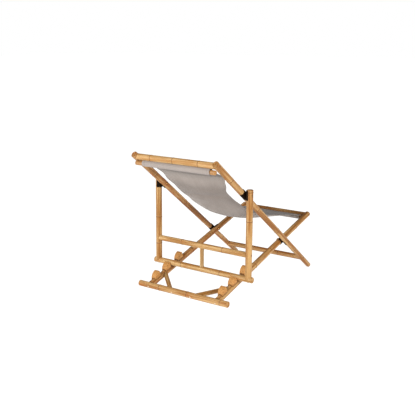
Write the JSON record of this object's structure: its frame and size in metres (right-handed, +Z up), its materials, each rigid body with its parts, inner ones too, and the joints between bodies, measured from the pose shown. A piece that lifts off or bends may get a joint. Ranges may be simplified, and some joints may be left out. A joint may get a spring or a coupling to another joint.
{
  "type": "folding recliner",
  "caption": "Folding bamboo lounge chair: a cloth sling hung between rods on crossing pole frames, with a hinged rear prop that stands in notches to set the recline.",
  "frame": {"origin": "on the floor, under the middle of the chair's overall length and width at rest", "axes": "+Z up, +Y towards the back of the chair, the sitter faces -Y, +X to the sitter's left"},
  "size_m": [0.6714, 1.0136, 0.7668],
  "materials": {
    "rail_bamboo": "satin lacquered bamboo, honey brown with darker node rings",
    "pale_bamboo": "satin lacquered bamboo, paler straw brown",
    "rod_wood": "bare sanded cane rod",
    "notch_wood": "satin lacquered block cut from a thick bamboo pole",
    "peg_wood": "dark stained hardwood peg",
    "bolt_brass": "aged bronze coloured bolt and cap nut",
    "pad_rubber": "matte black rubber",
    "canvas": "plain woven taupe grey cotton canvas with sewn hems"
  },
  "bodies": {
    "seat_frame": {"seat_rail_left": "rail_bamboo", "seat_rail_right": "rail_bamboo", "corner_brace_left": "pale_bamboo", "corner_brace_right": "pale_bamboo", "rear_floor_bar": "pale_bamboo", "front_bar": "rail_bamboo", "lower_sling_rod": "rod_wood", "notch_block_left_1": "notch_wood", "notch_block_left_2": "notch_wood", "notch_block_left_3": "notch_wood", "notch_block_right_1": "notch_wood", "notch_block_right_2": "notch_wood", "notch_block_right_3": "notch_wood", "front_bar_peg_left": "peg_wood", "front_bar_peg_right": "peg_wood", "seat_rail_peg_left": "peg_wood", "seat_rail_peg_right": "peg_wood", "brace_peg_left": "peg_wood", "brace_peg_right": "peg_wood", "seat_hinge_inner_pad_left": "pad_rubber", "seat_hinge_inner_pad_right": "pad_rubber"},
    "back_frame": {"back_rail_left": "rail_bamboo", "back_rail_right": "rail_bamboo", "headrest_bar": "pale_bamboo", "front_stretcher": "rail_bamboo", "upper_sling_rod": "rod_wood", "headrest_peg_left": "peg_wood", "headrest_peg_right": "peg_wood", "stretcher_peg_left": "peg_wood", "stretcher_peg_right": "peg_wood", "seat_hinge_outer_pad_left": "pad_rubber", "seat_hinge_outer_pad_right": "pad_rubber", "prop_hinge_inner_pad_left": "pad_rubber", "prop_hinge_inner_pad_right": "pad_rubber", "seat_hinge_bolt_left": "bolt_brass", "seat_hinge_bolt_right": "bolt_brass", "seat_hinge_cap_nut_left": "bolt_brass", "seat_hinge_cap_nut_right": "bolt_brass", "sling": "canvas"},
    "prop_frame": {"prop_post_left": "rail_bamboo", "prop_post_right": "rail_bamboo", "prop_foot_rail": "pale_bamboo", "prop_mid_rail": "pale_bamboo", "prop_spindle": "pale_bamboo", "mid_rail_peg_left": "peg_wood", "mid_rail_peg_right": "peg_wood", "prop_post_peg_left": "peg_wood", "prop_post_peg_right": "peg_wood", "spindle_peg_lower": "peg_wood", "spindle_peg_upper": "peg_wood", "prop_hinge_outer_pad_left": "pad_rubber", "prop_hinge_outer_pad_right": "pad_rubber", "prop_hinge_bolt_left": "bolt_brass", "prop_hinge_bolt_right": "bolt_brass", "prop_hinge_cap_nut_left": "bolt_brass", "prop_hinge_cap_nut_right": "bolt_brass"}
  },
  "joints": [
    {"name": "back_hinge", "type": "hinge", "parent": "seat_frame", "child": "back_frame", "pos_m": [0, -0.19211, 0.21536], "axis": [1, 0, 0], "range_deg": [0, 115], "deforming": ["sling"]},
    {"name": "prop_hinge", "type": "hinge", "parent": "back_frame", "child": "prop_frame", "pos_m": [0, 0.25075, 0.56136], "axis": [1, 0, 0], "range_deg": [-46, 0]}
  ],
  "couplings": [
    {"joint": "prop_hinge", "follows": "back_hinge", "ratio": -0.4}
  ]
}
